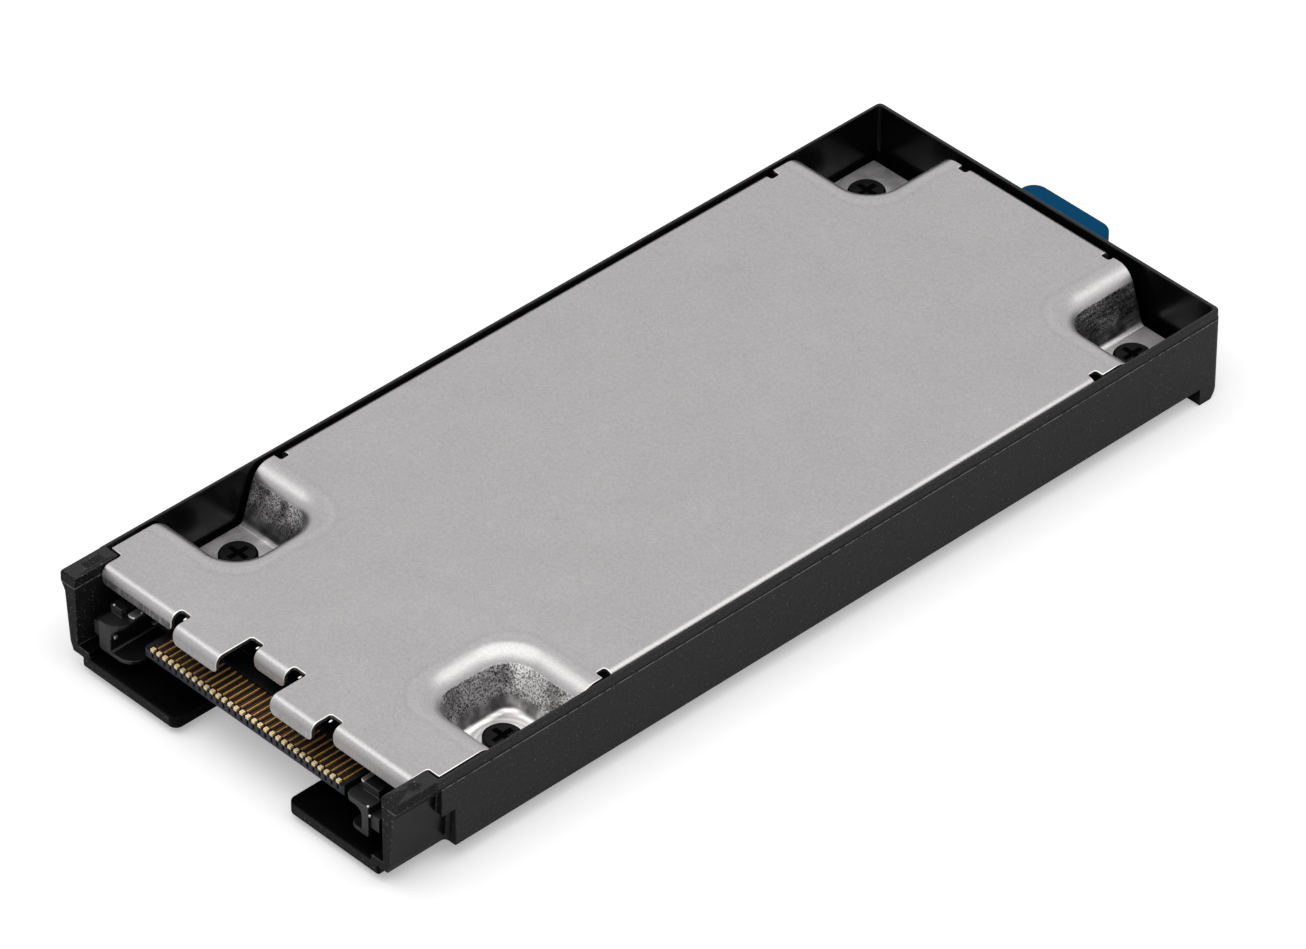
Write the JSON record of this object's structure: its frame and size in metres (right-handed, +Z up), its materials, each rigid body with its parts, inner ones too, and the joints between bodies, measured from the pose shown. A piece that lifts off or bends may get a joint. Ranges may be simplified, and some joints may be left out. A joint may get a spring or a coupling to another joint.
{
  "type": "laptop solid state drive",
  "caption": "Slide-in solid state drive cartridge for a laptop: black tray, screwed grey metal cover with drawn pockets, edge plug with gold contacts and a blue finger tab.",
  "frame": {"origin": "under the middle of the cartridge, finger tab included, level with the underside of the end lip", "axes": "+X to the right seen from the plug, +Y from the plug to the finger tab, +Z up to the cover"},
  "size_m": [0.0536, 0.1274, 0.0121],
  "materials": {
    "tray_plastic": "fine matte moulded texture",
    "cover_metal": "satin, fine grain",
    "black_steel": "black oxide",
    "insert_brass": "bright",
    "plug_plastic": "matte",
    "contact_gold": "polished",
    "bright_steel": "plated",
    "board_laminate": "solder mask",
    "chip_plastic": "moulded",
    "capacitor_ceramic": "ceramic",
    "pad_rubber": "soft",
    "film_plastic": "smooth",
    "tab_plastic": "smooth"
  },
  "bodies": {
    "root": {"carrier_tray": "tray_plastic", "cover_plate": "cover_metal", "cover_screws": "black_steel", "threaded_inserts": "insert_brass", "connector_housing": "plug_plastic", "contacts": "contact_gold", "ear_clips": "bright_steel", "adapter_board": "board_laminate", "adapter_screws": "bright_steel", "drive_socket": "plug_plastic", "drive_board": "board_laminate", "edge_fingers": "contact_gold", "controller_chip": "chip_plastic", "buffer_chip": "chip_plastic", "memory_chip_front": "chip_plastic", "memory_chip_rear": "chip_plastic", "power_chip": "chip_plastic", "board_capacitors": "capacitor_ceramic", "heat_pad": "pad_rubber", "board_standoff": "insert_brass", "drive_screw": "bright_steel", "insulating_film": "film_plastic", "finger_tab": "tab_plastic"}
  },
  "joints": []
}
